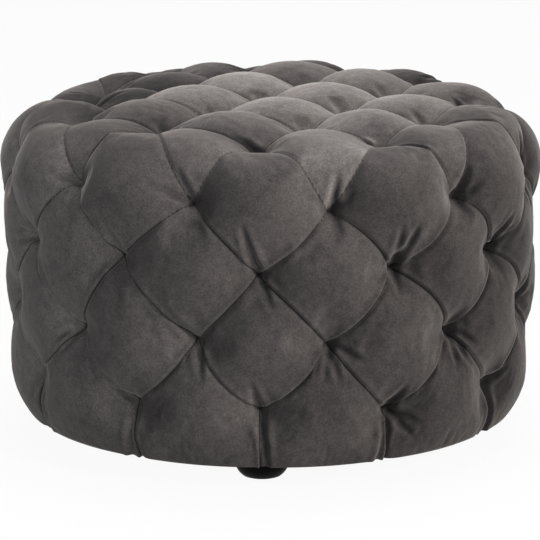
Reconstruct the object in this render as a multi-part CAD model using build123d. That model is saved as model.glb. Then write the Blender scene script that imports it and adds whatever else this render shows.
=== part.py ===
"""Round deep-tufted pouffe: a velvet cap over foam, on a drum of staves with four low feet.

Millimetres, +Z up, floor at z = 0, the drum's axis on the Z axis, the front at -Y.
Angles are in degrees from the front, turning toward +X.
"""

import os
from math import atan2, cos, degrees, hypot, pi, radians, sin, tan

from build123d import *

# Overall sizes
OUTER_RADIUS = 350.0  # fullest crown of the side panels
OVERALL_HEIGHT = 430.0  # floor to the crown of the top panels

# Quilted cover
RIM_RADIUS = 85.0  # rounding from the side to the top
TUFT_DEPTH = 34.0  # crown to the bottom of a tuft
SEAM_DEPTH = 15.0  # crown to the middle of a seam
PAD_AT_TUFT = 6.0  # cloth and wadding left under a tuft
SIDE_TAPER = 12.0  # how much narrower the straight side is at the hem
HEM_DRAW = 20.0  # how much further the hem itself is drawn in
HEM_PLEAT = 8.0  # depth of a pleat where it meets the hem
HEM_CLOTH = 2.0  # thickness of the cloth turned under the base
HEM_TURN = 50.0  # width of the cloth turned under the base
LOWEST_ROW = 75.0  # hem to the lowest row of tufts
LAST_STEP = 1.0  # step from the highest side row to the top ring, in row steps
TOP_PITCH = 125.0  # tuft to tuft on the middle of the top
RING_DIP = 14.0  # how far four of the top ring's tufts sit nearer the middle
COLUMNS = 12  # tufts in a row
ROWS = 4  # rows on the side
STEPS = 4  # straight steps along a seam
FACETS = 6  # straight steps across a panel

# Frame
BASE_THICKNESS = 18.0
TOP_THICKNESS = 15.0
STAVE_THICKNESS = 10.0
STAVE_GAP = 5.0  # slot between staves, where the tuft twine passes
STAVE_RISE = 40.0  # how far the staves stand above the top board, as a rim round its foam
SIDE_FOAM = 20.0
TOP_FOAM = 50.0
FOAM_CLEARANCE = 0.3  # round foam inside the cap
STAVES = 24

# Ties, staples and dust cover
TWINE_RADIUS = 1.3
TOGGLE_LENGTH = 24.0
TOGGLE_SIZE = 5.0
TIE_HOLE_CLEARANCE = 1.7  # hole in the top board beyond the twine
TIE_EDGE = 5.0  # least distance from a tie to the flats of the top board
STAPLE_WIRE = 1.2
FRAME_STAPLE_WIDTH = 12.0
FRAME_STAPLE_LEG = 20.0
HEM_STAPLE_WIDTH = 10.0
HEM_STAPLE_LEG = 9.0
HEM_STAPLE_INSET = 9.0  # in from the flats of the base board
HEM_STAPLES = 24
DUST_THICKNESS = 1.0
DUST_LAP = 21.0  # how far the dust cover laps over the turned cloth

# Feet
FOOT_HEIGHT = 30.0
FOOT_RADIUS = 34.0
FOOT_BASE_RADIUS = 20.0
FOOT_SHOULDER = 20.0  # height where the foot's round side becomes upright
FOOT_BULGE = 4.0  # how far the round side stands out from a straight line
FOOT_SIDES = 40  # flats round a foot
FOOT_INSET = 31.0  # foot centre in from the flats of the base board
FEET = 4
SCREW_RADIUS = 2.2
SCREW_HEAD_RADIUS = 4.6
SCREW_HEAD_HEIGHT = 3.0
SCREW_BITE = 14.0  # length of screw in the base board
SCREW_RECESS = 12.0  # depth of the recess under the foot
SCREW_CLEARANCE = 0.4

# Levels and radii that follow from the sizes above
hem_z = FOOT_HEIGHT + DUST_THICKNESS
base_z = hem_z + HEM_CLOTH
base_top = base_z + BASE_THICKNESS
pocket_top = OVERALL_HEIGHT - TUFT_DEPTH - PAD_AT_TUFT
seat_z = pocket_top - TOP_FOAM
seat_bottom = seat_z - TOP_THICKNESS
flat_radius = OUTER_RADIUS - RIM_RADIUS
rim_z = OVERALL_HEIGHT - RIM_RADIUS
rim_turn = RIM_RADIUS - SEAM_DEPTH
side_run = rim_z - hem_z
ring_run = side_run + rim_turn * pi / 2
centre_run = ring_run + flat_radius
row_step = (ring_run - LOWEST_ROW) / (ROWS - 1 + LAST_STEP)
pitch = 360.0 / COLUMNS
stave_pitch = 360.0 / STAVES
stave_top = seat_z + STAVE_RISE


def profile(run, depth):
    """Radius and height of a point `run` along the cover from the hem and `depth` under its crown."""
    if run <= side_run:
        drawn = SIDE_TAPER * (1 - run / side_run) + HEM_DRAW * max(0, 1 - run / LOWEST_ROW) ** 2
        return OUTER_RADIUS - drawn - depth, hem_z + run
    if run <= ring_run:
        turn = (run - side_run) / rim_turn
        reach = RIM_RADIUS - depth
        return flat_radius + reach * cos(turn), rim_z + reach * sin(turn)
    return flat_radius - (run - ring_run), OVERALL_HEIGHT - depth


def polar(angle, radius, z=0.0):
    """A point at an angle from the front."""
    return Vector(radius * sin(radians(angle)), -radius * cos(radians(angle)), z)


def place(spot, depth):
    """The point in space of a spot (angle, run) on the cover."""
    angle, run = spot
    radius, z = profile(run, depth)
    return polar(angle, radius, z)


def on_top(radius):
    """The run of a spot on the flat top."""
    return ring_run + flat_radius - radius


def between(a, b, share):
    """The spot part of the way from a to b: straight in plan on the top, even round the side."""
    if min(a[1], b[1]) < ring_run - 1e-6:
        return tuple(p + (q - p) * share for p, q in zip(a, b))
    ends = [polar(angle, flat_radius + ring_run - run) for angle, run in (a, b)]
    spot = ends[0] + (ends[1] - ends[0]) * share
    return degrees(atan2(spot.X, -spot.Y)), on_top(hypot(spot.X, spot.Y))


def side_tuft(row, angle):
    """A tuft of the side rows, counted from the hem."""
    return angle, LOWEST_ROW + row * row_step


def ring_tuft(angle):
    """A tuft of the ring round the top: the four between the corners sit nearer the middle."""
    dip = RING_DIP if round(angle - 2 * pitch) % 90 == 0 else 0.0
    return angle, ring_run + dip


def corner_tuft(angle):
    return angle, on_top(TOP_PITCH * 2**0.5)


def edge_tuft(angle):
    return angle, on_top(TOP_PITCH)


centre_tuft = (0.0, centre_run)


def seam(a, b, share):
    """A point of the seam between tufts a and b."""
    depth = SEAM_DEPTH + (TUFT_DEPTH - SEAM_DEPTH) * (2 * share - 1) ** 2
    return place(between(a, b, share), depth)


def crown(a, b, depth):
    """The highest point of the section between spots a and b."""
    return place(between(a, b, 0.5), depth)


def section(left, middle, right, steps=FACETS):
    """Points evenly along the arc over three points."""
    arc = Edge.make_three_point_arc(left, middle, right)
    return [left, *(arc.position_at(n / steps) for n in range(1, steps)), right]


def flat(*corners):
    return Face(Wire.make_polygon(corners))


def strip(low, high):
    """Flat faces between two sections, mirrored about the middle; a section of one point is a tip."""
    if len(low) == 1:
        return [flat(low[0], a, b) for a, b in zip(high, high[1:])]
    if len(high) == 1:
        return strip(high, low)
    faces = []
    for n in range(len(low) - 1):
        a, b, c, d = low[n], low[n + 1], high[n + 1], high[n]
        left_half = 2 * n < len(low) - 1
        faces += [flat(a, b, d), flat(b, c, d)] if left_half else [flat(a, b, c), flat(a, c, d)]
    return faces


def loft_flat(sections):
    """Flat faces through all sections of a panel."""
    return [face for low, high in zip(sections, sections[1:]) for face in strip(low, high)]


def fan(tip, left, right, shares, steps=FACETS):
    """Sections of a panel that widens from a tuft toward the tufts left and right of it."""
    lines = []
    for share in shares:
        middle = crown(between(tip, left, share), between(tip, right, share), TUFT_DEPTH * (1 - share) ** 3)
        lines.append(section(seam(tip, left, share), middle, seam(tip, right, share), steps))
    return lines


shares = [step / STEPS for step in range(1, STEPS + 1)]


def diamond(low, left, right, high):
    """A four-sided panel between four tufts."""
    lines = fan(low, left, right, shares) + fan(high, left, right, shares[-2::-1])
    return loft_flat([[place(low, TUFT_DEPTH)], *lines, [place(high, TUFT_DEPTH)]])


def triangle(tip, left, right):
    """A three-sided panel on the rim: from a side tuft up to a seam of the top ring."""
    lines = fan(tip, left, right, shares[:-1], STEPS)
    last = [seam(left, right, n / STEPS) for n in range(STEPS + 1)]
    return loft_flat([[place(tip, TUFT_DEPTH)], *lines, last])


def pleat(angle, share):
    """A point of the pleat from a lowest tuft (share 1) down to the hem (share 0)."""
    return place((angle, LOWEST_ROW * share), HEM_PLEAT + (TUFT_DEPTH - HEM_PLEAT) * share**2)


def hem_section(angle, share):
    """One section of a hem panel, between the pleats half a pitch to each side."""
    ends = [pleat(angle + side * pitch / 2, share) for side in (-1, 1)]
    return section(ends[0], place((angle, LOWEST_ROW * share), 0.0), ends[1])


def hem_panel(angle):
    """A panel of the lowest row: from a second-row tuft down to the hem."""
    tip = side_tuft(1, angle)
    left, right = (side_tuft(0, angle + side * pitch / 2) for side in (-1, 1))
    lines = fan(tip, left, right, shares)
    lines += [hem_section(angle, share) for share in (*shares[-2::-1], 0.0)]
    return loft_flat([[place(tip, TUFT_DEPTH)], *lines])


def side_panels():
    """The hem panels and the rows of diamonds, up to those that turn over the rim."""
    faces = []
    for n in range(COLUMNS):
        faces += hem_panel((n + 0.5) * pitch)
        for row in range(ROWS - 1):
            angle = (n + 0.5 * (row % 2)) * pitch
            left, right = (side_tuft(row + 1, angle + side * pitch / 2) for side in (-1, 1))
            high = side_tuft(row + 2, angle) if row + 2 < ROWS else ring_tuft(angle)
            faces += diamond(side_tuft(row, angle), left, right, high)
    return faces


def rim_panels():
    """The panels between the highest side tufts and the top ring: 4 diamonds and 8 triangles."""
    faces = []
    for n in range(COLUMNS):
        angle = (n + 0.5) * pitch
        left, right = ring_tuft(n * pitch), ring_tuft((n + 1) * pitch)
        tip = side_tuft(ROWS - 1, angle)
        if n % 3 == 0:
            faces += diamond(tip, left, right, corner_tuft(angle))
        else:
            faces += triangle(tip, left, right)
    return faces


def top_panels():
    """The panels inside the top ring: 4 round the middle tuft and 8 outside them."""
    faces = []
    for n in range(4):
        edge = 2 * pitch + 90 * n
        left, right = edge_tuft(edge), edge_tuft(edge + 90)
        faces += diamond(centre_tuft, left, right, corner_tuft(edge + 45))
        for side in (-1, 1):
            tufts = ring_tuft(edge), corner_tuft(edge + 45 * side)
            faces += diamond(edge_tuft(edge), *tufts, ring_tuft(edge + pitch * side))
    return faces


def cap_pocket():
    """The plain space inside the cap, open below within the turned cloth."""
    opening = Cylinder(pocket_radius - HEM_TURN, 2 * HEM_CLOTH)
    space = Cylinder(pocket_radius, pocket_top - base_z, align=(Align.CENTER, Align.CENTER, Align.MIN))
    return Pos(0, 0, hem_z) * opening + Pos(0, 0, base_z) * space


def velvet_cover():
    """The quilted cap: all panels sewn into one skin, closed at the hem, with the pocket inside."""
    hem = flat(*(point for n in range(COLUMNS) for point in hem_section((n + 0.5) * pitch, 0.0)[:-1]))
    skin = Shell([*side_panels(), *rim_panels(), *top_panels(), hem])
    return Solid(skin) - cap_pocket()


pocket_radius = profile(LOWEST_ROW, TUFT_DEPTH)[0] - PAD_AT_TUFT
stave_face = pocket_radius - FOAM_CLEARANCE - SIDE_FOAM
board_flat = stave_face - STAVE_THICKNESS
foot_circle = board_flat - FOOT_INSET


def flats(apothem, height, z):
    """A prism with one flat behind each stave."""
    outline = RegularPolygon(apothem, STAVES, major_radius=False, rotation=-90)
    return Pos(0, 0, z) * extrude(outline, amount=height)


def turned(angle, shape):
    """A shape drawn along +X, turned to an angle from the front."""
    return Rot(0, 0, angle - 90) * shape


def rod(radius, bottom, top):
    """An upright round rod on the axis."""
    return Pos(0, 0, bottom) * Cylinder(radius, top - bottom, align=(Align.CENTER, Align.CENTER, Align.MIN))


def top_spots():
    """Plan positions of the ties of the top: under their tufts, and on the top board."""
    spots = [centre_tuft]
    for n in range(4):
        spots += [edge_tuft(2 * pitch + 90 * n), corner_tuft(2 * pitch + 45 + 90 * n)]
    spots += [ring_tuft(n * pitch) for n in range(COLUMNS)]
    return [(angle, min(flat_radius + ring_run - run, board_flat - TIE_EDGE)) for angle, run in spots]


def foot_angles():
    return [360.0 / FEET * n for n in range(FEET)]


def foot_screw():
    """A foot's screw, upright on the axis, head in the recess under the foot."""
    head = rod(SCREW_HEAD_RADIUS, SCREW_RECESS - SCREW_HEAD_HEIGHT, SCREW_RECESS)
    return head + rod(SCREW_RADIUS, SCREW_RECESS, base_z + SCREW_BITE)


def screw_way(top):
    """The clear way for a foot's screw, up to a level."""
    return rod(SCREW_RADIUS + SCREW_CLEARANCE, -1.0, top)


def base_board():
    board = flats(board_flat, BASE_THICKNESS, base_z)
    return board - [turned(angle, Pos(foot_circle, 0, 0) * foot_screw()) for angle in foot_angles()]


def top_board():
    outline = RegularPolygon(TWINE_RADIUS + TIE_HOLE_CLEARANCE, 6)
    hole = Pos(0, 0, seat_bottom - 1) * extrude(outline, amount=TOP_THICKNESS + 2)
    board = flats(board_flat, TOP_THICKNESS, seat_bottom)
    return board - [turned(angle, Pos(radius, 0, 0) * hole) for angle, radius in top_spots()]


def stave(n):
    """One upright on the flats of both boards."""
    width = 2 * board_flat * tan(radians(stave_pitch / 2)) - STAVE_GAP
    plank = Box(STAVE_THICKNESS, width, stave_top - base_z, align=(Align.MIN, Align.CENTER, Align.MIN))
    return turned((n + 0.5) * stave_pitch, Pos(board_flat, 0, base_z) * plank)


def staple(width, leg):
    """A staple with its crown on x = 0 and its legs toward -X."""
    half, wire = width / 2, STAPLE_WIRE
    corners = [(0, -half), (0, half), (-leg, half), (-leg, half - wire)]
    corners += [(-wire, half - wire), (-wire, wire - half), (-leg, wire - half), (-leg, -half)]
    return Pos(0, 0, -wire / 2) * extrude(make_face(Polyline(*corners, close=True)), amount=wire)


def frame_staples():
    """One staple through each end of each stave into the edge of a board."""
    levels = (base_z + BASE_THICKNESS / 2, seat_z - TOP_THICKNESS / 2)
    one = staple(FRAME_STAPLE_WIDTH, FRAME_STAPLE_LEG)
    spots = [((n + 0.5) * stave_pitch, z) for n in range(STAVES) for z in levels]
    return Compound([turned(angle, Pos(stave_face, 0, z) * one) for angle, z in spots])


def side_foam():
    ring = rod(pocket_radius - FOAM_CLEARANCE, base_z, pocket_top)
    return ring - flats(stave_face, pocket_top - base_z, base_z)


def top_foam():
    """The seat foam: inside the rim of the staves, and over their ends."""
    return flats(board_flat, STAVE_RISE, seat_z) + flats(stave_face, pocket_top - stave_top, stave_top)


def tie(length):
    """Twine along +X from the origin, with a toggle across its far end."""
    twine = extrude(Plane.YZ * RegularPolygon(TWINE_RADIUS, 6), amount=length + TOGGLE_SIZE / 2)
    toggle = Box(TOGGLE_SIZE, TOGGLE_LENGTH, TOGGLE_SIZE, align=(Align.MIN, Align.CENTER, Align.CENTER))
    return twine + Pos(length, 0, 0) * toggle


def side_tuft_ties():
    """A tie behind each side tuft, through the slot between two staves, toggle across their backs."""
    tilt = radians(stave_pitch / 2)
    backs = (board_flat - TOGGLE_LENGTH / 2 * sin(tilt)) / cos(tilt)
    start = pocket_radius - FOAM_CLEARANCE
    one = Pos(start, 0, 0) * Rot(0, 0, 180) * tie(start - backs)
    ties = []
    for row in range(ROWS):
        for n in range(COLUMNS):
            angle, run = side_tuft(row, (n + 0.5 * (row % 2)) * pitch)
            ties.append(turned(angle, Pos(0, 0, profile(run, TUFT_DEPTH)[1]) * one))
    return Compound(ties)


def top_tuft_ties():
    """A tie under each top tuft, through a hole in the top board, toggle under the board."""
    one = Rot(0, 90, 0) * tie(pocket_top - seat_bottom)
    return Compound([turned(angle, Pos(radius, 0, pocket_top) * one) for angle, radius in top_spots()])


def dust_cover():
    """The thin cloth that closes the underside."""
    cloth = flats(pocket_radius - HEM_TURN + DUST_LAP, DUST_THICKNESS, FOOT_HEIGHT)
    return cloth - [turned(angle, Pos(foot_circle, 0, 0) * screw_way(hem_z + 1)) for angle in foot_angles()]


def hem_staples():
    """Staples up through the dust cover and the turned cloth into the base board."""
    one = Rot(0, 90, 0) * staple(HEM_STAPLE_WIDTH, HEM_STAPLE_LEG)
    spot = Pos(board_flat - HEM_STAPLE_INSET, 0, FOOT_HEIGHT - STAPLE_WIRE) * one
    return Compound([turned((n + 0.5) * 360 / HEM_STAPLES, spot) for n in range(HEM_STAPLES)])


def foot():
    """A low round foot on the axis, with a recess below for its screw."""
    low, high = Vector(FOOT_BASE_RADIUS, 0), Vector(FOOT_RADIUS, FOOT_SHOULDER)
    outward = Vector(high.Y - low.Y, low.X - high.X).normalized()
    swell = (low + high) / 2 + outward * FOOT_BULGE
    outline = [low, swell, high, Vector(FOOT_RADIUS, FOOT_HEIGHT)]
    rings = [[polar(360 / FOOT_SIDES * n, at.X, at.Y) for n in range(FOOT_SIDES + 1)] for at in outline]
    body = Solid(Shell([*loft_flat(rings), flat(*rings[0][:-1]), flat(*rings[-1][:-1])]))
    recess = rod(SCREW_HEAD_RADIUS + SCREW_CLEARANCE, -1.0, SCREW_RECESS)
    return body - recess - screw_way(FOOT_HEIGHT + 1)


def parts():
    """Every node's name and shape."""
    named = {"velvet_cover": velvet_cover(), "side_foam": side_foam(), "top_foam": top_foam()}
    named |= {"base_board": base_board(), "top_board": top_board()}
    named |= {f"stave_{n + 1:02d}": stave(n) for n in range(STAVES)}
    named |= {"frame_staples": frame_staples(), "hem_staples": hem_staples(), "dust_cover": dust_cover()}
    named |= {"side_tuft_ties": side_tuft_ties(), "top_tuft_ties": top_tuft_ties()}
    standing = [turned(angle, Pos(foot_circle, 0, 0) * foot()) for angle in foot_angles()]
    named |= {f"foot_{n + 1}": shape for n, shape in enumerate(standing)}
    screws = [turned(angle, Pos(foot_circle, 0, 0) * foot_screw()) for angle in foot_angles()]
    named["foot_screws"] = Compound(screws)
    return named


os.makedirs("parts", exist_ok=True)
for name, shape in parts().items():
    export_step(shape, f"parts/{name}.step")
    print(name, len(shape.solids()), "solids,", round(shape.volume / 1000, 1), "cm3")
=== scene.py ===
import math

import bmesh
import bpy
import numpy as np
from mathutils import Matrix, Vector
from mathutils.kdtree import KDTree


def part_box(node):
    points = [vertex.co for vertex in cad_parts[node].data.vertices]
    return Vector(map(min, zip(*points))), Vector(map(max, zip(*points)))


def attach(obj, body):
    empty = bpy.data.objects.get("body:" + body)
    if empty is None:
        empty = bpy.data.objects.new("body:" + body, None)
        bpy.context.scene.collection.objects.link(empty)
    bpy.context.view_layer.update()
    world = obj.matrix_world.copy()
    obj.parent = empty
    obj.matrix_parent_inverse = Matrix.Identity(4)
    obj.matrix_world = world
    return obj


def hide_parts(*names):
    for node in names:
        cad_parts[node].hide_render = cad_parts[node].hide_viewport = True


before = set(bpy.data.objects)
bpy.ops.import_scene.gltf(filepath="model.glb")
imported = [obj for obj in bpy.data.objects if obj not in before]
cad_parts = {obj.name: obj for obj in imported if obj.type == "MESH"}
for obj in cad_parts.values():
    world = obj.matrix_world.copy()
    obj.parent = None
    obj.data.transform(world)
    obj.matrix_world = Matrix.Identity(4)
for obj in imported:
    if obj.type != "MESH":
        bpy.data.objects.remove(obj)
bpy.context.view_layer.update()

# The part's own sizes. Lengths are in metres, and angles in degrees from the front to the right.
OUTER = .350  # radius of the drum
HEIGHT = .430
RIM = .085  # radius of the rounded rim
SEAM = .015  # depth below the full outline at which lengths along the cover are measured
TAPER = .012  # how much narrower the drum is at the hem
HEM_DRAW = .020  # how far the hem is drawn in below the lowest tufts
HEM_Z = .031
LOWEST = .075  # from the hem up to the lowest row of tufts
COLUMNS = 12  # tufts in each row of the side
ROWS = 4
CLEARANCE = .0003
POCKET_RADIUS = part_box("side_foam")[1].x + CLEARANCE
POCKET_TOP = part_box("top_foam")[1].z + CLEARANCE
POCKET_BASE = .033
POCKET_HOLE = .020  # radius inside which the pocket's lid is one face
HEM_TURN = .050  # cloth turned under the base
DUST_SIDES = 24
DUST_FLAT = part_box("dust_cover")[1].x * math.cos(math.pi / DUST_SIDES)
DUST_Z = .0305
DUST_THICKNESS = .0007
FOOT_NODES = ("foot_1", "foot_2", "foot_3", "foot_4")
FOOT_RADIUS = .034
FOOT_BASE = .024
FOOT_SHOULDER = .020  # height where the foot's round side becomes upright
FOOT_ROUNDNESS = 2.6
FOOT_LOWEST = .0006  # height where the round side begins
FOOT_EDGES = ((-.0008, 0), (-.0003, .0002))  # the rounding below that, out from FOOT_BASE and up
FOOT_TOP_EDGE = .001
RECESS_RADIUS = .005
RECESS_DEPTH = .012
RECESS_EDGE = .0008
SCREW_WAY = .0026

FLAT = OUTER - RIM  # radius of the top inside the rim
RIM_Z = HEIGHT - RIM
RIM_TURN = RIM - SEAM
SIDE_RUN = RIM_Z - HEM_Z
RING_RUN = SIDE_RUN + RIM_TURN * math.pi / 2  # from the hem over the rim to the flat of the top
ROW_STEP = (RING_RUN - LOWEST) / ROWS
SECTOR = 360 / COLUMNS

# The soft shape. A depth is below the full outline, and a negative one stands proud of it.
DIVISIONS = 24  # mesh steps along a seam
SIDE_SEAM = .0015
RIM_SEAM = .0005
TOP_SEAM = .003
HEM_PLEAT = .006
HEM_PLEAT_WIDTH = .010
DOME = .014  # rise of the top's middle
CROWNS = {"side": -.003, "hem": -.001, "rim": -.005, "corner": -.006, "shoulder": -.007,
          "ring": -.009, "middle": -.010}
SIDE_ROUNDING, TOP_ROUNDING = .65, .82  # the lower, the squarer a panel swells from its seams
DEPTH_SPREAD = .0015
# How far the tufts draw the cover in below its seams, and how wide the funnel round each is
PITS = {"side": (.030, .028), "ring": (.027, .030), "middle": (.030, .032)}
PIT_SPREAD, PIT_WIDTH_SPREAD = .08, .1
LEAST_WEIGHT, MOST_WEIGHT = .02, 20  # limits for narrow triangles of the film
# How far the middles of the seams bend: above the hem panels, round the side and over the rim
DROOP, SLIGHT_DROOP = .008, .003
SIDE_BOW, FRONT_SHARE = .011, .2  # that share in front, all of it on the right, none on the left
RIM_BOW = .008
AT_HEM = .001  # points this close to the hem's line are held
# Pleats along the seams: height and width of the edge that lies over and of the one under it
LIP, LIP_WIDTH = .0024, .005
UNDERLAP, UNDERLAP_WIDTH = .0014, .0045
GROOVE = .0018
PLEAT_REACH = .016
PLEAT_FADE = .012  # distance from a tuft at which a pleat begins
RIM_BLEND = .03  # height over which the side's pleats become the flatter ones of the top
FLATTER_ON_TOP = .68
ON_SEAM = .75  # value of the seam attribute above which a point counts as sewn
# Tucks at the tufts
FOLD_START = .012
FOLD_WIDTH = .0058
FOLD_STRETCH, FOLD_DEEPEN = 1.25, 1.2
FOLD_REACH = 1.15  # shares of a tuck's length: all of it that is looked at, and where it begins
FOLD_BEFORE, FOLD_RISE = .03, .25
FOLD_END = .65  # power by which it fades to its end
FOLD_OPEN, FOLD_CLOSE = 1.1, .5  # its width at the tuft, and what it loses of that
FOLD_ROLLS = ((.45, 1.7, .9), (.6, -1.7, 1.0))  # height, place and width beside the groove
FOLD_FACING = .2  # surfaces that face further away aren't tucked
FOLD_GROUND = .030  # radius whose mean normal gives a tuck its plane
FOLD_TURN, HEM_FOLD_TURN, FOLD_SPREAD = 22, 4, .2  # random degrees, and share of length and depth
HEM_FOLD = 85  # length in millimetres of the second pleat under a lowest tuft
# Cloth simulation
HELD_NEAR = .008
LEAST_MOVE, MORE_MOVE, MOVE_REACH = .001, .006, .030  # at a tuft, added away from it, how soon
# Tone of the pile, panel by panel, partly its own and partly painted light and shade: at the
# centre, and its change to the right and to the back. The top is painted lighter than the side, the
# right lighter and the back darker, as light falls on them.
PILE_TONES_AND_PAINTED_LIGHT = {"middle": (.86, 0, 0), "ring": (.46, .44, -.12), "shoulder": (.36, .27, -.07),
         "corner": (.21, .13, -.1), "rim": (.185, .03, -.018), "side": (.2, .012, 0),
         "hem": (.173, 0, 0)}
TONE_SPREAD = .024
FACING_SHADE_BLEND = .040  # width of the ring where the top's painted shade by facing becomes the side's
BACK_GAIN, FRONT_GAIN = 1.3, .7  # weight in the painted shade of the top's slopes that turn to the back, painted lighter, and to the front, painted darker
# Strength of the painted shade by facing
FACING_SHADE_CONTRAST = 1.65
STITCH_GAP = .8  # value of the seam attribute between two stitches, where the seam's painted shade is lighter

rng = np.random.default_rng(12)


def vary(spread):
    return rng.uniform(-spread, spread)


def plan(angle, run):
    """A point of the cover laid flat: the top as seen from above, the side spread out round it."""
    reach = FLAT + RING_RUN - run
    turn = np.radians(angle)
    return np.array([reach * np.sin(turn), -reach * np.cos(turn)])


def surface(flat, depth):
    """Points of the cover in space, at a depth below its full outline."""
    reach = np.hypot(flat[:, 0], flat[:, 1])
    turn = np.arctan2(flat[:, 0], -flat[:, 1])
    run = FLAT + RING_RUN - reach
    low = np.maximum(0, 1 - run / LOWEST)
    side_r = OUTER - TAPER * (1 - run / SIDE_RUN) - HEM_DRAW * low ** 2 - depth
    bend = np.clip((run - SIDE_RUN) / RIM_TURN, 0, math.pi / 2)
    rim_r = FLAT + (RIM - depth) * np.cos(bend)
    rim_z = RIM_Z + (RIM - depth) * np.sin(bend)
    on_side = run <= SIDE_RUN
    on_top = run >= RING_RUN
    r = np.where(on_side, side_r, np.where(on_top, reach, rim_r))
    swell = DOME * np.maximum(0, 1 - (reach / FLAT) ** 2)
    z = np.where(on_side, HEM_Z + run, np.where(on_top, HEIGHT + swell - depth, rim_z))
    return np.stack([r * np.sin(turn), -r * np.cos(turn), z], 1)


# The rows of the side are A to D from the rim down, and H is the hem. The top has a ring T, then K
# and E, and O in the middle.
# Where hand tufting has drawn the side's tufts off the even pattern: degrees and millimetres up
SIDE_DRIFT = {
    ("A", 10): (-.2, 9), ("A", 11): (.4, 3), ("A", 0): (.2, -7), ("A", 1): (1.7, -9),
    ("A", 2): (3, -12),
    ("B", 10): (-2.6, 2), ("B", 11): (-2, 9), ("B", 0): (-.2, -2), ("B", 1): (0, -1),
    ("B", 2): (0, -5),
    ("C", 10): (0, -7), ("C", 11): (1.1, 0), ("C", 0): (0, -4), ("C", 1): (.9, -6),
    ("C", 2): (2, -8),
    ("D", 10): (-2, 3), ("D", 11): (1.1, 0), ("D", 0): (0, -1), ("D", 1): (-.7, -9),
    ("D", 2): (.7, -6),
}
LOOSE_TURN, LOOSE_RISE = 1, 5  # the same for the tufts that the photograph doesn't show
# The tufts of the top, seen from above, in millimetres from the centre
TOP_TUFTS = {
    ("T", 0): (-4, -232), ("T", 1): (144, -186), ("T", 2): (203, -80), ("T", 3): (254, 42),
    ("T", 4): (195, 167), ("T", 5): (101, 238), ("T", 6): (-30, 256), ("T", 7): (-143, 213),
    ("T", 8): (-220, 128), ("T", 9): (-236, 58), ("T", 10): (-232, -78), ("T", 11): (-129, -148),
    ("K", 0): (51, -136), ("K", 1): (156, 58), ("K", 2): (-68, 186), ("K", 3): (-195, 16),
    ("E", 0): (98, -42), ("E", 1): (44, 108), ("E", 2): (-120, 78), ("E", 3): (-68, -80),
    ("O", 0): (-10, 6),
}
# The tucks at the tufts in front: degrees above level, length and depth in millimetres
GATHERS = {
    ("A", 10): [(185, 36, 3.5), (265, 24, 2.5)],
    ("A", 11): [(165, 50, 5), (122, 40, 4)],
    ("A", 0): [(75, 42, 4.5), (35, 30, 3.5)],
    ("A", 1): [(52, 36, 4.5), (15, 34, 4)],
    ("B", 10): [(172, 34, 4), (195, 34, 4)],
    ("B", 11): [(108, 48, 5)],
    ("B", 0): [(106, 60, 5.5), (295, 36, 3.5)],
    ("B", 1): [(88, 50, 4.5), (66, 54, 5), (280, 26, 3)],
    ("B", 2): [(60, 44, 4.5), (35, 36, 4)],
    ("C", 10): [(205, 34, 3.5), (235, 40, 3)],
    ("C", 11): [(130, 46, 5), (282, 42, 3.5)],
    ("C", 0): [(335, 40, 4.5), (285, 40, 3.5), (262, 36, 3)],
    ("C", 1): [(300, 48, 4), (275, 36, 3.5), (330, 36, 4)],
    ("C", 2): [(30, 40, 4), (0, 36, 4)],
    ("D", 10): [(120, 30, 3.5), (280, HEM_FOLD, 3.5)],
    ("D", 11): [(152, 32, 4), (262, HEM_FOLD, 3.5)],
    ("D", 0): [(104, 34, 4), (277, HEM_FOLD, 4)],
    ("D", 1): [(60, 34, 4), (335, 40, 4), (312, 44, 3.5), (262, HEM_FOLD, 3.5)],
    ("D", 2): [(20, 34, 4), (278, HEM_FOLD, 4)],
}


def tuft_places():
    """Angle and run of every tuft, and of the hem points under the lowest row."""
    places = {}
    for n in range(COLUMNS):
        whole, half = n * SECTOR, (n + .5) * SECTOR
        places["D", n] = (whole, LOWEST)
        places["C", n] = (half, LOWEST + ROW_STEP)
        places["B", n] = (whole, LOWEST + 2 * ROW_STEP)
        places["A", n] = (half, LOWEST + 3 * ROW_STEP)
    for name, (angle, run) in list(places.items()):
        loose = vary(LOOSE_TURN), vary(LOOSE_RISE)
        turn, rise = SIDE_DRIFT.get(name, loose)
        places[name] = (angle + turn, run + rise / 1000)
    for n in range(COLUMNS):
        places["H", n] = (places["D", n][0], 0)
    for name, (x, y) in TOP_TUFTS.items():
        reach = math.hypot(x, y) / 1000
        places[name] = (math.degrees(math.atan2(x, -y)), FLAT + RING_RUN - reach)
    return places


def near(angle, other):
    """The angle, with whole turns added to bring it next to the other."""
    return angle + 360 * round((other - angle) / 360)


def bow(a, b, start, end):
    """How far the middle of a seam bends from a straight line, in degrees round and metres up."""
    span = np.array([math.radians(end[0] - start[0]) * OUTER, end[1] - start[1]])
    across = np.array([-span[1], span[0]]) / np.hypot(*span)
    rows = {a[0], b[0]}
    if rows == {"C", "D"}:
        across *= -np.sign(across[1])
        upper, lower = (a, b) if a[0] == "C" else (b, a)
        size = DROOP if upper[1] == lower[1] or lower[1] == 0 else SLIGHT_DROOP
    elif rows <= {"A", "B", "C"}:
        across *= np.sign(across[0])
        middle = math.radians((start[0] + end[0]) / 2)
        size = SIDE_BOW * np.clip(FRONT_SHARE + math.sin(middle), 0, 1)
    elif rows == {"A", "T"}:
        across, size = (0, 1), RIM_BOW
    else:
        size = 0
    return math.degrees(across[0] * size / OUTER), across[1] * size


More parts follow.
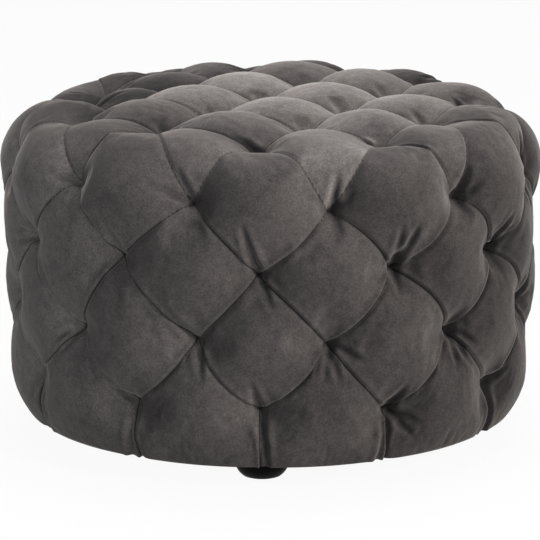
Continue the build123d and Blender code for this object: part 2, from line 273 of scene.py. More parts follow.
class Quilt:
    """The outer skin as one mesh of pillows that share the vertices of their seams."""

    def __init__(self):
        self.places = tuft_places()
        self.flat = []
        self.pin = []
        self.faces = []
        self.cell_of = []
        self.cells = 0
        self.points = {}
        self.lines = {}
        self.seam_edges = []

    def add(self, flat, pin=None):
        """Numbers of new vertices. Those with a pin are held at that depth."""
        start = len(self.flat)
        self.flat.extend(flat)
        self.pin.extend([np.nan] * len(flat) if pin is None else pin)
        return np.arange(start, start + len(flat))

    def point(self, name):
        if name not in self.points:
            depth = TOP_SEAM if name in TOP_TUFTS else SIDE_SEAM
            depth = HEM_PLEAT if name[0] == "H" else depth
            self.points[name] = self.add([plan(*self.places[name])], [depth])[0]
        return self.points[name]

    def seam(self, a, b):
        """Vertex numbers from tuft a to tuft b."""
        if (b, a) in self.lines:
            return self.lines[b, a][::-1]
        if (a, b) not in self.lines:
            t = np.linspace(0, 1, DIVISIONS + 1)[1:-1]
            (angle_a, run_a), (angle_b, run_b) = self.places[a], self.places[b]
            if a in TOP_TUFTS and b in TOP_TUFTS:
                p, q = plan(angle_a, run_a), plan(angle_b, run_b)
                flat = p + (q - p) * t[:, None]
            else:
                angle_b = near(angle_b, angle_a)
                turn, rise = bow(a, b, (angle_a, run_a), (angle_b, run_b))
                bend = np.sin(math.pi * t)
                flat = plan(angle_a + (angle_b - angle_a) * t + turn * bend,
                            run_a + (run_b - run_a) * t + rise * bend).T
            ends = self.point(a), self.point(b)
            depth = self.pin[ends[0]] + (self.pin[ends[1]] - self.pin[ends[0]]) * t
            if "H" not in (a[0], b[0]):
                on_top = (a in TOP_TUFTS) + (b in TOP_TUFTS)
                middle = (SIDE_SEAM, RIM_SEAM, TOP_SEAM)[on_top] + vary(DEPTH_SPREAD)
                depth = middle + (depth - middle) * np.abs(2 * t - 1) ** 2
            line = np.concatenate([[ends[0]], self.add(flat, depth), [ends[1]]])
            self.lines[a, b] = line
            self.seam_edges.extend(zip(line[:-1], line[1:]))
        return self.lines[a, b]

    def free_line(self, a, b):
        """Vertex numbers from a to b inside a cell, straight in the flat layout."""
        t = np.linspace(0, 1, DIVISIONS // 2 + 1)[1:-1, None]
        flat = self.flat[a] + (self.flat[b] - self.flat[a]) * t
        return np.concatenate([[a], self.add(flat), [b]])

    def grid(self, bottom, right, top, left):
        """Fills four lines of vertices: bottom and top run the same way, left and right too."""
        xy = lambda line: np.array([self.flat[i] for i in line])
        lo, hi, west, east = xy(bottom), xy(top), xy(left), xy(right)
        rows, columns = len(left), len(bottom)
        s = np.linspace(0, 1, columns)[None, :, None]
        t = np.linspace(0, 1, rows)[:, None, None]
        flat = (1 - t) * lo[None] + t * hi[None] + (1 - s) * west[:, None] + s * east[:, None]
        flat -= (1 - s) * (1 - t) * lo[0] + s * (1 - t) * lo[-1]
        flat -= (1 - s) * t * hi[0] + s * t * hi[-1]
        number = np.zeros((rows, columns), int)
        number[0], number[-1], number[:, 0], number[:, -1] = bottom, top, left, right
        inner = self.add(list(flat[1:-1, 1:-1].reshape(-1, 2)))
        number[1:-1, 1:-1] = inner.reshape(rows - 2, columns - 2)
        quads = [number[:-1, :-1], number[:-1, 1:], number[1:, 1:], number[1:, :-1]]
        quads = np.stack(quads, -1).reshape(-1, 4)
        self.faces.extend(quads)
        self.cell_of.extend([self.cells] * len(quads))

    def diamond(self, a, b, c, d):
        self.grid(self.seam(a, b), self.seam(b, c), self.seam(d, c), self.seam(a, d))
        self.cells += 1

    def triangle(self, a, b, c):
        half = DIVISIONS // 2
        ab, bc, ca = self.seam(a, b), self.seam(b, c), self.seam(c, a)
        middle = self.add([sum(self.flat[self.point(p)] for p in (a, b, c)) / 3])[0]
        to_ab, to_bc, to_ca = (self.free_line(middle, line[half]) for line in (ab, bc, ca))
        self.grid(ab[:half + 1], to_ab[::-1], to_ca[::-1], ca[half:][::-1])
        self.grid(bc[:half + 1], to_bc[::-1], to_ab[::-1], ab[half:][::-1])
        self.grid(ca[:half + 1], to_ca[::-1], to_bc[::-1], bc[half:][::-1])
        self.cells += 1

    def hem_line(self, n):
        """The lower edge of a hem panel, from one pleat to the next."""
        a, b = ("H", n), ("H", (n + 1) % COLUMNS)
        t = np.linspace(0, 1, 2 * DIVISIONS + 1)[1:-1]
        start, end = self.places[a][0], self.places[b][0]
        end = near(end, start + SECTOR)
        flat = plan(start + (end - start) * t, 0 * t).T
        away = np.minimum(t, 1 - t) * math.radians(SECTOR) * OUTER
        depth = HEM_PLEAT * np.exp(-(away / HEM_PLEAT_WIDTH) ** 2)
        return np.concatenate([[self.point(a)], self.add(flat, depth), [self.point(b)]])

    def hem_panel(self, n):
        after = (n + 1) % COLUMNS
        tip, left, right = ("C", n), ("D", n), ("D", after)
        hem = self.hem_line(n)
        top, foot = self.point(tip), hem[DIVISIONS]
        t = np.linspace(0, 1, DIVISIONS + 1)[1:-1, None]
        flat = self.flat[top] + (self.flat[foot] - self.flat[top]) * t
        middle = np.concatenate([[top], self.add(flat), [foot]])
        pleat_l, pleat_r = self.seam(left, ("H", n)), self.seam(right, ("H", after))
        self.grid(self.seam(left, tip), middle, hem[:DIVISIONS + 1], pleat_l)
        self.grid(self.seam(tip, right), pleat_r, hem[DIVISIONS:], middle)
        self.cells += 1

    def sew(self):
        """Makes all panels, in the order that their kinds are listed in."""
        kinds = []
        for n in range(COLUMNS):
            after, before = (n + 1) % COLUMNS, (n - 1) % COLUMNS
            self.hem_panel(n)
            self.diamond(("D", n), ("C", n), ("B", n), ("C", before))
            self.diamond(("C", n), ("B", after), ("A", n), ("B", n))
            self.diamond(("B", n), ("A", n), ("T", n), ("A", before))
            kinds += ["hem", "side", "side", "rim"]
            if n % 3 == 0:
                self.diamond(("A", n), ("T", after), ("K", n // 3), ("T", n))
                kinds.append("shoulder")
            else:
                self.triangle(("A", n), ("T", after), ("T", n))
                kinds.append("corner")
        for m in range(4):
            after, ring = (m + 1) % 4, 2 + 3 * m
            self.diamond(("E", m), ("T", ring), ("T", (ring + 1) % COLUMNS), ("K", after))
            self.diamond(("E", m), ("K", m), ("T", ring - 1), ("T", ring))
            self.diamond(("O", 0), ("E", m), ("K", after), ("E", after))
            kinds += ["ring", "ring", "middle"]
        self.kinds = kinds
        self.flat = np.array(self.flat)
        self.pin = np.array(self.pin)
        self.hem = np.hypot(*self.flat.T) > FLAT + RING_RUN - AT_HEM
        self.faces = np.array(self.faces)
        self.cell_of = np.array(self.cell_of)
        base = self.flat[self.faces]
        one, two = base[:, 2] - base[:, 0], base[:, 3] - base[:, 1]
        inward = one[:, 0] * two[:, 1] - one[:, 1] * two[:, 0] < 0
        self.faces[inward] = self.faces[inward][:, ::-1]
        self.centres = np.array([base[self.cell_of == c].mean((0, 1)) for c in range(self.cells)])
        return self

    def tufts(self):
        return [(name, number) for name, number in self.points.items() if name[0] != "H"]


def laplacian(base, faces):
    """Cotangent weights of a mesh of quads: edge ends, their weights and each vertex's area."""
    triangles = np.concatenate([faces[:, [0, 1, 2]], faces[:, [0, 2, 3]]])
    one, two, weight = [], [], []
    area = np.zeros(len(base))
    for k in range(3):
        i, j, o = triangles[:, k], triangles[:, (k + 1) % 3], triangles[:, (k + 2) % 3]
        u, v = base[i] - base[o], base[j] - base[o]
        double = np.linalg.norm(np.cross(u, v), axis=1) + 1e-12
        one.append(i)
        two.append(j)
        weight.append(np.clip((u * v).sum(1) / double, LEAST_WEIGHT, MOST_WEIGHT) / 2)
        area += np.bincount(o, double / 6, len(base))
    return np.concatenate(one), np.concatenate(two), np.concatenate(weight), area


def relax(net, held, start, load, rounds=600, enough=1e-14):
    """The height of a film stretched over the net, fixed where held, under an even load."""
    one, two, weight, area = net
    count = len(start)
    free = ~held

    def pull(x):
        flow = weight * (x[one] - x[two])
        return (np.bincount(one, flow, count) - np.bincount(two, flow, count)) * free

    x = np.where(held, start, 0)
    rest = (load * area) * free - pull(x)
    scale = np.bincount(one, weight, count) + np.bincount(two, weight, count)
    step = rest / scale
    go, gain = step.copy(), rest @ step
    for _ in range(rounds):
        along = pull(go)
        size = gain / (go @ along + 1e-30)
        x = x + size * go
        rest = rest - size * along
        step = rest / scale
        new = rest @ step
        if new < enough * count:
            break
        go, gain = step + new / gain * go, new
    return x


def pillow_depths(quilt):
    """The depth of every point: panels that swell between their seams, drawn in at the tufts."""
    base = surface(quilt.flat, np.full(len(quilt.flat), SEAM))
    net = laplacian(base, quilt.faces)
    held = ~np.isnan(quilt.pin)
    edge = relax(net, held, np.nan_to_num(quilt.pin), 0.0)
    dome = relax(net, held, np.zeros(len(base)), 1.0)
    highest = np.zeros(quilt.cells)
    np.maximum.at(highest, quilt.cell_of, dome[quilt.faces].max(1))
    rise = np.ones(len(base))
    crown = np.zeros(len(base))
    power = np.full(len(base), SIDE_ROUNDING)
    for cell, kind in enumerate(quilt.kinds):
        members = np.unique(quilt.faces[quilt.cell_of == cell])
        rise[members] = np.maximum(dome[members], 0) / highest[cell]
        crown[members] = CROWNS[kind] + vary(DEPTH_SPREAD)
        power[members] = SIDE_ROUNDING if kind in ("side", "hem") else TOP_ROUNDING
    full = np.where(held, 0, rise ** power)
    return edge * (1 - full) + crown * full + funnels(quilt, base)


def funnels(quilt, base):
    """How much deeper every point lies for the pull of the tufts round it."""
    depth = np.zeros(len(base))
    for name, number in quilt.tufts():
        kind = "side" if name not in TOP_TUFTS else "ring" if name[0] == "T" else "middle"
        pull, width = PITS[kind]
        pull *= 1 + vary(PIT_SPREAD)
        width *= 1 + vary(PIT_WIDTH_SPREAD)
        away = np.linalg.norm(base - base[number], axis=1)
        depth += pull * np.exp(-away / width)
    return depth


def tuft_distance(points, tufts):
    away = np.full(len(points), np.inf)
    for tuft in tufts:
        away = np.minimum(away, np.linalg.norm(points - tuft, axis=1))
    return away


def to_mesh(name, points, faces):
    mesh = bpy.data.meshes.new(name)
    mesh.from_pydata([tuple(p) for p in points], [], [tuple(int(i) for i in f) for f in faces])
    mesh.update()
    piece = bpy.data.objects.new(name, mesh)
    bpy.context.scene.collection.objects.link(piece)
    return piece


def vectors(mesh, key):
    """A vector of every vertex, such as its place, co, or its normal."""
    flat = np.zeros(len(mesh.vertices) * 3)
    mesh.vertices.foreach_get(key, flat)
    return flat.reshape(-1, 3)


def values(mesh, name, count, kind):
    """An attribute's values."""
    found = np.zeros(count, kind)
    mesh.attributes[name].data.foreach_get("value", found)
    return found


def mark(mesh, name, kind, domain, numbers):
    """Adds an attribute with these values."""
    mesh.attributes.new(name, kind, domain).data.foreach_set("value", numbers)


def apply_modifiers(piece):
    bpy.context.view_layer.update()
    graph = bpy.context.evaluated_depsgraph_get()
    mesh = bpy.data.meshes.new_from_object(piece.evaluated_get(graph))
    old = piece.data
    piece.modifiers.clear()
    piece.data = mesh
    bpy.data.meshes.remove(old)


def inflate(piece, held, tufts, pressure=2, fullness=.02, frames=20):
    """Blows the cover up as cloth, held at its tufts and hem and cut larger than its wadding."""
    start = vectors(piece.data, "co")
    away = tuft_distance(start, tufts)
    held = held | (away < HELD_NEAR)
    group = piece.vertex_groups.new(name="held")
    group.add([int(i) for i in np.flatnonzero(held)], 1.0, "REPLACE")
    cloth = piece.modifiers.new("cloth", "CLOTH")
    set_up = cloth.settings
    set_up.quality = 5
    set_up.mass = .01
    set_up.air_damping = 2
    set_up.tension_stiffness = set_up.compression_stiffness = 6
    set_up.shear_stiffness = 3
    set_up.bending_stiffness = .3
    set_up.vertex_group_mass = "held"
    set_up.use_pressure = True
    set_up.uniform_pressure_force = pressure
    set_up.shrink_min = -fullness
    set_up.effector_weights.gravity = 0
    cloth.collision_settings.use_collision = False
    cloth.point_cache.frame_end = frames
    scene = bpy.context.scene
    for step in range(1, frames + 1):
        scene.frame_set(step)
    graph = bpy.context.evaluated_depsgraph_get()
    moved = vectors(piece.evaluated_get(graph).data, "co") - start
    piece.modifiers.clear()
    piece.vertex_groups.clear()
    scene.frame_set(1)
    far = np.linalg.norm(moved, axis=1)
    most = LEAST_MOVE + MORE_MOVE * (1 - np.exp(-(away / MOVE_REACH) ** 2))
    moved *= np.minimum(1, most / np.maximum(far, 1e-9))[:, None]
    piece.data.vertices.foreach_set("co", (start + moved).ravel())
    piece.data.update()


def add_fold(points, normals, shift, start, along, length, height):
    """A tuck that runs from a tuft into a panel: a narrow groove with a soft roll on each side."""
    near_by = np.flatnonzero(((points - start) ** 2).sum(1) < (FOLD_REACH * length) ** 2)
    offset = points[near_by] - start
    facing = normals[near_by] @ np.cross(along[0], along[1]) > FOLD_FACING
    near_by, offset = near_by[facing], offset[facing]
    a = offset @ along[0] / length
    b = offset @ along[1] / (FOLD_WIDTH * (FOLD_OPEN - FOLD_CLOSE * np.clip(a, 0, 1)))
    fade = np.clip((a + FOLD_BEFORE) / FOLD_RISE, 0, 1) * np.clip(1 - a, 0, 1) ** FOLD_END
    rolls = sum(size * np.exp(-((b - place) / width) ** 2) for size, place, width in FOLD_ROLLS)
    shift[near_by] += height * fade * (rolls - np.exp(-b ** 2))


def fold_frame(points, normals, start, degrees):
    """Two directions in the surface at a point: one at an angle above level, one across it."""
    out = np.array([start[0], start[1], 0])
    out /= np.linalg.norm(out) + 1e-9
    level = np.array([-out[1], out[0], 0])
    closest = ((points - start) ** 2).sum(1) < FOLD_GROUND ** 2
    up = normals[closest].mean(0)
    up /= np.linalg.norm(up)
    rise = np.cross(up, level)
    turn = math.radians(degrees)
    along = level * math.cos(turn) + rise * math.sin(turn)
    return along, np.cross(up, along)


def some_gathers(name):
    """Tucks for a tuft that GATHERS doesn't list."""
    if name[0] == "T":
        tucks = [(140, 42, 2.6), (40, 30, 2)]
    elif name in TOP_TUFTS:
        tucks = [(rng.uniform(0, 360), 34, 2)]
    elif name[0] == "D":
        tucks = [(rng.choice([60, 120]), 36, 4), (270 + rng.choice([-7, 7]), HEM_FOLD, 4)]
    else:
        tucks = [(90, 52, 5), (rng.choice([0, 180]), 40, 4), (280, 38, 3.5)]
    return [(angle + vary(HEM_FOLD_TURN if length == HEM_FOLD else FOLD_TURN),
             length * (1 + vary(FOLD_SPREAD)), depth * (1 + vary(FOLD_SPREAD)))
            for angle, length, depth in tucks]


def pleats(mesh, points, quilt, tufts):
    """Each seam is a pleat: a sewn line, with the upper panel's edge lying over the lower one."""
    count = len(points)
    seam = values(mesh, "seam", count, np.float32)
    cell = values(mesh, "cell", len(mesh.polygons), np.int32)
    corners = np.zeros(len(mesh.loops), np.int32)
    mesh.loops.foreach_get("vertex_index", corners)
    reach = np.hypot(*quilt.centres.T)
    own = np.repeat(reach[cell], 4)
    inmost = np.full(count, np.inf)
    np.minimum.at(inmost, corners, own)
    on_seam = np.flatnonzero(seam > ON_SEAM)
    tree = KDTree(len(on_seam))
    for i in on_seam:
        tree.insert(points[i], i)
    tree.balance()
    shift = np.zeros(count)
    for i in np.flatnonzero(seam < ON_SEAM):
        _, line, gap = tree.find(points[i])
        if gap < PLEAT_REACH:
            if inmost[i] <= inmost[line] + 1e-6:
                shift[i] = LIP * math.exp(-(gap / LIP_WIDTH) ** 2)
            else:
                shift[i] = -UNDERLAP * math.exp(-(gap / UNDERLAP_WIDTH) ** 2)
    shift[on_seam] = -GROOVE
    clear_of_tufts = 1 - np.exp(-(tuft_distance(points, tufts) / PLEAT_FADE) ** 2)
    high = np.clip((points[:, 2] - RIM_Z) / RIM_BLEND + .5, 0, 1)
    return shift * clear_of_tufts * (1 - FLATTER_ON_TOP * high)


def tuck(piece, quilt, tufts):
    """The gathers round the tufts, the second pleats under the lowest ones, and the seams."""
    mesh = piece.data
    points, normals = vectors(mesh, "co"), vectors(mesh, "normal")
    shift = np.zeros(len(points))
    for name, place in quilt.places.items():
        if name[0] == "H":
            continue
        start = surface(plan(*place)[None], np.array([FOLD_START]))[0]
        for angle, length, height in GATHERS.get(name) or some_gathers(name):
            along = fold_frame(points, normals, start, angle)
            add_fold(points, normals, shift, start, along,
                     FOLD_STRETCH * length / 1000, FOLD_DEEPEN * height / 1000)
    shift += pleats(mesh, points, quilt, tufts)
    points = points + normals * shift[:, None]
    mesh.vertices.foreach_set("co", points.ravel())
    mesh.update()


def close_underneath(piece):
    """Turns the hem under the base and closes the skin round the pocket for foam and frame."""
    shape = bmesh.new()
    shape.from_mesh(piece.data)
    loop = [e for e in shape.edges if e.is_boundary]
    inner = POCKET_RADIUS - HEM_TURN
    stages = [(inner, HEM_Z), (inner, POCKET_BASE), (POCKET_RADIUS, POCKET_BASE),
              (POCKET_RADIUS, POCKET_TOP), (POCKET_HOLE, POCKET_TOP)]
    for radius, height in stages:
        made = bmesh.ops.extrude_edge_only(shape, edges=loop)["geom"]
        for v in made:
            if isinstance(v, bmesh.types.BMVert):
                turn = math.atan2(v.co.x, -v.co.y)
                v.co = (radius * math.sin(turn), -radius * math.cos(turn), height)
        loop = [e for e in made if isinstance(e, bmesh.types.BMEdge)]
    bmesh.ops.holes_fill(shape, edges=[e for e in shape.edges if e.is_boundary], sides=0)
    bmesh.ops.recalc_face_normals(shape, faces=shape.faces)
    shape.to_mesh(piece.data)
    shape.free()


def paint_facing_shade(mesh):
    """Painted shade: marks how far the surface faces round the drum, and to the back on top, so
    that the velvet's colour is lightened or darkened by it.
    """
    points, normals = vectors(mesh, "co"), vectors(mesh, "normal")
    reach = np.maximum(np.hypot(points[:, 0], points[:, 1]), 1e-6)
    turned = (normals[:, 1] * points[:, 0] - normals[:, 0] * points[:, 1]) / reach
    side = 1 - np.clip((FLAT - reach) / FACING_SHADE_BLEND, 0, 1)
    back = np.where(normals[:, 1] > 0, BACK_GAIN, FRONT_GAIN) * normals[:, 1]
    mark(mesh, "facing_shade", "FLOAT", "POINT", (turned * side + back * (1 - side)).astype(np.float32))


def finish_cover(mesh, sewn):
    """Marks the painted shade by facing and the gaps between stitches in the seams' painted shade
    over the rim, and breaks the smooth shading at the seams.

    The stitches are the first vertices, as many as sewn. The subdivision's come after them.
    """
    paint_facing_shade(mesh)
    mesh.shade_smooth()
    count = len(mesh.vertices)
    seam = values(mesh, "seam", count, np.float32)
    over_rim = vectors(mesh, "co")[:, 2] > RIM_Z
    seam[(np.arange(count) >= sewn) & (seam > ON_SEAM) & over_rim] = STITCH_GAP
    mesh.attributes["seam"].data.foreach_set("value", seam)
    ends = np.zeros(len(mesh.edges) * 2, np.int32)
    mesh.edges.foreach_get("vertices", ends)
    sharp = (seam[ends.reshape(-1, 2)] > ON_SEAM).all(1)
    if "sharp_edge" not in mesh.attributes:
        mesh.attributes.new("sharp_edge", "BOOLEAN", "EDGE")
    mesh.attributes["sharp_edge"].data.foreach_set("value", sharp)
    mesh.update()


def make_cover():
    quilt = Quilt().sew()
    depth = pillow_depths(quilt)
    cover = to_mesh("tufted_velvet", surface(quilt.flat, depth), quilt.faces)
    mesh = cover.data
    # Each panel's tone: the pile's own, with painted light that makes the top and the right lighter
    # and the back darker
    aim = quilt.centres / np.maximum(np.hypot(*quilt.centres.T), FLAT)[:, None]
    tone = np.array([np.dot(PILE_TONES_AND_PAINTED_LIGHT[kind], (1, x, y)) for kind, (x, y) in zip(quilt.kinds, aim)])
    tone += rng.uniform(-TONE_SPREAD, TONE_SPREAD, quilt.cells)
    mark(mesh, "tone_and_painted_light", "FLOAT", "FACE", tone[quilt.cell_of].astype(np.float32))
    on_seam = np.zeros(len(quilt.flat), np.float32)
    on_seam[np.array(quilt.seam_edges).ravel()] = 1
    mark(mesh, "seam", "FLOAT", "POINT", on_seam)
    mark(mesh, "cell", "INT", "FACE", quilt.cell_of.astype(np.int32))
    edges = {tuple(sorted(e.vertices)): e.index for e in mesh.edges}
    crease = np.zeros(len(mesh.edges), np.float32)
    for a, b in quilt.seam_edges:
        crease[edges[tuple(sorted((int(a), int(b))))]] = 1
    mark(mesh, "crease_edge", "FLOAT", "EDGE", crease)
    drawn = vectors(mesh, "co")[[number for _, number in quilt.tufts()]]
    inflate(cover, quilt.hem, drawn)
    smooth = cover.modifiers.new("smooth", "SUBSURF")
    smooth.levels = smooth.render_levels = 1
    apply_modifiers(cover)
    tuck(cover, quilt, drawn)
    close_underneath(cover)
    finish_cover(cover.data, len(quilt.flat))
    return cover


def make_dust_cover():
    """A thin stretched disc with flat sides that hangs a little slack between its staples."""
    rings, sides = 14, 96
    margin, hole, lift, slack = .001, .02, .0004, .00012
    half = math.pi / DUST_SIDES
    points, faces = [], []
    for k in range(rings + 1):
        for s in range(sides):
            turn = 2 * math.pi * s / sides
            off = (turn + half) % (2 * half) - half
            reach = (DUST_FLAT - margin) / math.cos(off) * (hole + (1 - hole) * k / rings)
            wave = slack * math.sin(DUST_SIDES * turn) * (k / rings) ** 4
            points.append((reach * math.sin(turn), -reach * math.cos(turn), DUST_Z + lift + wave))
    for k in range(rings):
        for s in range(sides):
            t = (s + 1) % sides
            faces.append((k * sides + s, (k + 1) * sides + s, (k + 1) * sides + t, k * sides + t))
    faces.append(tuple(range(sides)))
    sheet = to_mesh("dust_cloth", points, faces)
    thick = sheet.modifiers.new("thick", "SOLIDIFY")
    thick.thickness = DUST_THICKNESS
    thick.offset = 0
    apply_modifiers(sheet)
    sheet.data.shade_smooth()
    return sheet


def make_foot(node):
    """A turned bowl round its screw: recess, base, round side, and the screw's way through it."""
    low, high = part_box(node)
    x, y = (low.x + high.x) / 2, (low.y + high.y) / 2
    top = high.z
    steps, sides, sharp = 14, 72, 40
    outline = [(RECESS_RADIUS, RECESS_DEPTH), (RECESS_RADIUS, RECESS_EDGE),
               (RECESS_RADIUS + RECESS_EDGE, 0)]
    outline += [(FOOT_BASE + out, up) for out, up in FOOT_EDGES]
    for z in np.linspace(FOOT_LOWEST, FOOT_SHOULDER, steps):
        share = 1 - (1 - z / FOOT_SHOULDER) ** FOOT_ROUNDNESS
        outline.append((FOOT_BASE + (FOOT_RADIUS - FOOT_BASE) * share, z))
    outline += [(FOOT_RADIUS, top - FOOT_TOP_EDGE), (FOOT_RADIUS - FOOT_TOP_EDGE, top),
                (SCREW_WAY, top), (SCREW_WAY, RECESS_DEPTH)]
    rows = len(outline)
    points, faces = [], []
    for s in range(sides):
        turn = 2 * math.pi * s / sides
        points += [(x + r * math.cos(turn), y + r * math.sin(turn), z) for r, z in outline]
        a, b = s * rows, (s + 1) % sides * rows
        faces += [(a + k, b + k, b + (k + 1) % rows, a + (k + 1) % rows) for k in range(rows)]
    foot = to_mesh("moulded_" + node, points, faces)
    foot.data.shade_smooth()
    foot.data.set_sharp_from_angle(angle=math.radians(sharp))
    return foot


def linear(c):
    return c / 255 / 12.92 if c <= 10.3 else ((c / 255 + .055) / 1.055) ** 2.4


def srgb(r, g, b):
    return linear(r), linear(g), linear(b), 1


class Shader:
    """A node material with the few node shapes that this scene needs."""

    def __init__(self, name, **sockets):
        self.material = bpy.data.materials.new(name)
        self.material.use_nodes = True
        self.nodes = self.material.node_tree.nodes
        self.link = self.material.node_tree.links.new
        self.bsdf = self.nodes["Principled BSDF"]
        for socket, value in sockets.items():
            self.bsdf.inputs[socket.replace("_", " ")].default_value = value
        self.place = self.nodes.new("ShaderNodeTexCoord").outputs["Object"]

    def put(self, socket, value):
        """Links a socket to another, or gives it a plain value."""
        if isinstance(value, bpy.types.NodeSocket):
            self.link(value, socket)
        else:
            socket.default_value = value

    def noise(self, scale, detail=4, roughness=.55, stretch=None, distortion=0):
        node = self.nodes.new("ShaderNodeTexNoise")
        node.inputs["Scale"].default_value = scale
        node.inputs["Detail"].default_value = detail
        node.inputs["Roughness"].default_value = roughness
        node.inputs["Distortion"].default_value = distortion
        source = self.place
        if stretch:
            mapping = self.nodes.new("ShaderNodeMapping")
            mapping.inputs["Scale"].default_value = stretch
            self.link(self.place, mapping.inputs["Vector"])
            source = mapping.outputs["Vector"]
        self.link(source, node.inputs["Vector"])
        return node.outputs["Fac"]

    def ramp(self, factor, *stops):
        node = self.nodes.new("ShaderNodeValToRGB")
        for element, (place, colour) in zip(node.color_ramp.elements, stops):
            element.position = place
            element.color = colour
        self.link(factor, node.inputs["Fac"])
        return node.outputs["Color"]

    def mix(self, factor, a, b, blend="MIX"):
        node = self.nodes.new("ShaderNodeMix")
        node.data_type = "RGBA"
        node.blend_type = blend
        sockets = {s.identifier: s for s in node.inputs}
        self.put(sockets["Factor_Float"], factor)
        self.put(sockets["A_Color"], a)
        self.put(sockets["B_Color"], b)
        return next(s for s in node.outputs if s.identifier == "Result_Color")

    def spread(self, value, low, high):
        node = self.nodes.new("ShaderNodeMapRange")
        node.inputs["To Min"].default_value = low
        node.inputs["To Max"].default_value = high
        self.link(value, node.inputs["Value"])
        return node.outputs["Result"]

    def math(self, operation, a, b):
        node = self.nodes.new("ShaderNodeMath")
        node.operation = operation
        self.put(node.inputs[0], a)
        self.put(node.inputs[1], b)
        return node.outputs[0]

    def attribute(self, name):
        node = self.nodes.new("ShaderNodeAttribute")
        node.attribute_name = name
        return node.outputs["Fac"]

    def bump(self, height, strength, distance):
        node = self.nodes.new("ShaderNodeBump")
        node.inputs["Strength"].default_value = strength
        node.inputs["Distance"].default_value = distance
        self.link(height, node.inputs["Height"])
        old = self.bsdf.inputs["Normal"]
        if old.is_linked:
            self.link(old.links[0].from_socket, node.inputs["Normal"])
        self.link(node.outputs["Normal"], old)

    def feed(self, socket, value):
        self.link(value, self.bsdf.inputs[socket])


WHITE = srgb(255, 255, 255)


def velvet():
    """Grey velvet: each panel's tone with painted light, painted shade by the way the surface faces
    and along the seams, and patches and grain.
    """
    s = Shader("velvet_pile", Roughness=.92, Specular_IOR_Level=.12, Sheen_Weight=.8,
               Sheen_Roughness=.36, Sheen_Tint=srgb(172, 167, 162))
    # Painted shade: slopes that face one way round the drum (left at the front), and the top's
    # front slopes, are painted darker. The others are painted lighter.
    turned = s.math("ADD", s.math("MULTIPLY", s.attribute("facing_shade"), FACING_SHADE_CONTRAST), 1)
    tone_and_painted_light = s.math("MULTIPLY", s.attribute("tone_and_painted_light"), turned)
    # The panel's tone and painted light, times the painted shade by facing, between a dark and a
    # light grey
    colour = s.mix(tone_and_painted_light, srgb(58, 55, 57), srgb(207, 200, 197))
    brushed = s.ramp(s.noise(9, 3, .5, distortion=.8),
                     (.25, srgb(135, 135, 137)), (.75, srgb(255, 252, 248)))
    mottle = s.ramp(s.noise(95, 5, .6), (.25, srgb(185, 185, 186)), (.75, WHITE))
    grain = s.ramp(s.noise(900, 3, .6), (.3, srgb(190, 190, 190)), (.7, WHITE))
    pile = s.ramp(s.noise(420, 2, .7), (.35, srgb(170, 169, 170)), (.65, srgb(255, 254, 252)))
    # Painted shade in the seam lines: the colour darkens towards each seam, and less between the
    # stitches over the rim
    sewn = s.ramp(s.attribute("seam"), (.72, WHITE), (1, srgb(140, 140, 142)))
    for share, layer in ((.55, brushed), (.7, mottle), (.6, grain), (.6, pile), (1, sewn)):
        colour = s.mix(share, colour, layer, "MULTIPLY")
    s.feed("Base Color", colour)
    s.bump(s.noise(1400, 3, .7), .35, .0004)
    s.bump(s.noise(160, 4, .6), .25, .0008)
    return s.material


def plastic():
    s = Shader("black_moulded_plastic", Specular_IOR_Level=.05)
    s.feed("Base Color", s.ramp(s.noise(60), (.3, srgb(8, 8, 8)), (.7, srgb(14, 14, 15))))
    s.feed("Roughness", s.spread(s.noise(140), .42, .6))
    s.bump(s.noise(1800, 2), .12, .0002)
    return s.material


def timber(name, dark, light, stretch):
    s = Shader(name, Roughness=.7)
    rings = s.noise(26, 6, .6, stretch, 1.2)
    fibre = s.noise(240, 3, .5, stretch)
    broad, fine = s.ramp(rings, (.3, dark), (.7, light)), s.ramp(fibre, (.3, dark), (.7, light))
    s.feed("Base Color", s.mix(.35, broad, fine))
    s.bump(fibre, .2, .0005)
    return s.material


def foam():
    s = Shader("upholstery_foam", Roughness=.95)
    cells = s.ramp(s.noise(420, 4), (.35, srgb(196, 182, 138)), (.65, srgb(232, 222, 184)))
    s.feed("Base Color", cells)
    s.bump(s.noise(700, 3), .5, .001)
    return s.material


def metal(name, low, high):
    s = Shader(name, Metallic=1.0)
    s.feed("Base Color", s.ramp(s.noise(300), (.3, low), (.7, high)))
    s.feed("Roughness", s.spread(s.noise(500), .25, .45))
    return s.material


def twine():
    s = Shader("waxed_twine", Roughness=.8)
    strands = s.ramp(s.noise(800, 3), (.3, srgb(176, 160, 126)), (.7, srgb(222, 210, 180)))
    s.feed("Base Color", strands)
    s.bump(s.noise(1500, 2), .5, .0004)
    return s.material


def dust_cloth():
    s = Shader("spunbond_cloth", Roughness=.9, Sheen_Weight=.1)
    fibres = s.noise(700, 4, .7, (1, .25, 1))
    s.feed("Base Color", s.ramp(fibres, (.3, srgb(22, 22, 23)), (.7, srgb(46, 46, 47))))
    s.bump(s.noise(500, 3), .4, .0004)
    return s.material


def dress_nodes(black):
    """Gives each CAD node its material, by the start of its name."""
    birch = srgb(184, 148, 102), srgb(220, 190, 148)
    wire = srgb(170, 170, 172), srgb(205, 205, 206)
    pine = srgb(176, 132, 84), srgb(214, 178, 128)
    kinds = {
        "foot_screws": metal("screw_steel", srgb(150, 150, 152), srgb(190, 190, 192)),
        "foot_": black,
        "stave_": timber("pine_stave", *pine, (1, 1, .08)),
        "base_board": timber("birch_ply", *birch, (1, .1, 1)),
        "top_board": timber("birch_ply_top", *birch, (.1, 1, 1)),
        "side_foam": foam(),
        "top_foam": foam(),
        "frame_staples": metal("staple_wire", *wire),
        "hem_staples": metal("hem_staple_wire", *wire),
        "side_tuft_ties": twine(),
        "top_tuft_ties": twine(),
    }
    for name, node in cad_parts.items():
        for start, material in kinds.items():
            if name.startswith(start):
                node.data.materials.clear()
                node.data.materials.append(material)
                break


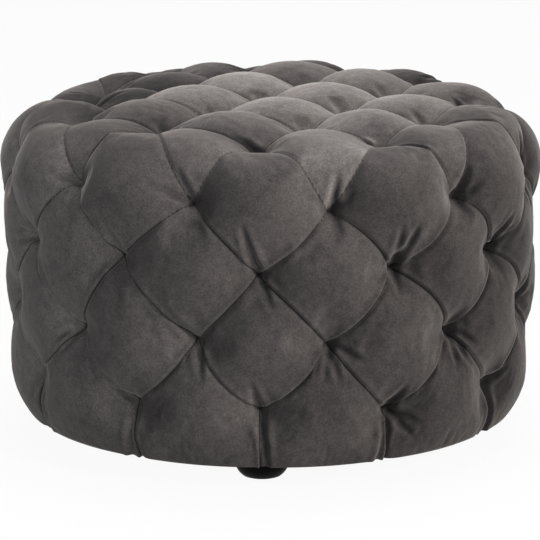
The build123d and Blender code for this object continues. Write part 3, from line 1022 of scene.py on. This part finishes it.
def add_floor(half=9, grey=.88, white_share=.94):
    """A pale floor that keeps the shadow, and is nearly white to the camera and in reflections."""
    corners = [(-half, -half, 0), (half, -half, 0), (half, half, 0), (-half, half, 0)]
    floor = to_mesh("floor", corners, [(0, 1, 2, 3)])
    material = bpy.data.materials.new("pale_floor")
    material.use_nodes = True
    tree = material.node_tree
    tree.nodes.clear()
    out = tree.nodes.new("ShaderNodeOutputMaterial")
    plain = tree.nodes.new("ShaderNodeBsdfDiffuse")
    plain.inputs["Color"].default_value = (grey, grey, grey, 1)
    white = tree.nodes.new("ShaderNodeEmission")
    white.inputs["Strength"].default_value = 1.0
    seen = tree.nodes.new("ShaderNodeLightPath")
    either = tree.nodes.new("ShaderNodeMath")
    either.operation = "MAXIMUM"
    any_way = tree.nodes.new("ShaderNodeMath")
    any_way.operation = "MAXIMUM"
    part = tree.nodes.new("ShaderNodeMath")
    part.operation = "MULTIPLY"
    part.inputs[1].default_value = white_share
    mix = tree.nodes.new("ShaderNodeMixShader")
    link = tree.links.new
    link(seen.outputs["Is Camera Ray"], either.inputs[0])
    link(seen.outputs["Is Glossy Ray"], either.inputs[1])
    link(either.outputs[0], any_way.inputs[0])
    link(seen.outputs["Is Transmission Ray"], any_way.inputs[1])
    link(any_way.outputs[0], part.inputs[0])
    link(part.outputs[0], mix.inputs["Fac"])
    link(plain.outputs[0], mix.inputs[1])
    link(white.outputs[0], mix.inputs[2])
    link(mix.outputs[0], out.inputs["Surface"])
    floor.data.materials.append(material)


def add_light(name, place, aim, size, power, colour=(1, 1, 1)):
    lamp = bpy.data.lights.new(name, "AREA")
    lamp.shape = "DISK"
    lamp.size = size
    lamp.energy = power
    lamp.color = colour
    light = bpy.data.objects.new(name, lamp)
    bpy.context.scene.collection.objects.link(light)
    light.location = place
    light.rotation_euler = (Vector(aim) - Vector(place)).to_track_quat("-Z", "Y").to_euler()


def add_lights():
    add_light("overhead", (.2, .3, 3.2), (0, 0, .3), 2.0, 80)
    add_light("key", (3.3, -3.0, 2.4), (0, 0, .25), 1.0, 106, (1, .97, .93))
    add_light("fill", (-3.4, -2.6, 1.6), (0, 0, .2), 2.0, 60, (.90, .94, 1))
    world = bpy.data.worlds.new("studio")
    bpy.context.scene.world = world
    world.use_nodes = True
    back = world.node_tree.nodes["Background"]
    back.inputs["Color"].default_value = (1, 1, 1, 1)
    back.inputs["Strength"].default_value = .18


def add_camera(turn=2.40, away=5.5, height=1.595, pitch=14.19, focal_pixels=4360, frame_pixels=540):
    """A camera at the photograph's angle, turned to the right of the front and pitched down."""
    data = bpy.data.cameras.new("camera")
    data.sensor_width = 36
    data.lens = data.sensor_width * focal_pixels / frame_pixels
    data.clip_end = 60
    camera = bpy.data.objects.new("camera", data)
    bpy.context.scene.collection.objects.link(camera)
    side = math.radians(turn)
    camera.location = (away * math.sin(side), -away * math.cos(side), height)
    camera.rotation_euler = (math.radians(90 - pitch), 0, side)
    bpy.context.scene.camera = camera


cover = make_cover()
cover.data.materials.append(velvet())
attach(cover, "root")
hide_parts("velvet_cover")

dust = make_dust_cover()
dust.data.materials.append(dust_cloth())
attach(dust, "root")
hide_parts("dust_cover")

black = plastic()
for node in FOOT_NODES:
    foot = make_foot(node)
    foot.data.materials.append(black)
    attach(foot, "root")
    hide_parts(node)

dress_nodes(black)
add_floor()
add_lights()
add_camera()
bpy.context.scene.view_settings.view_transform = "Standard"

bpy.context.view_layer.update()
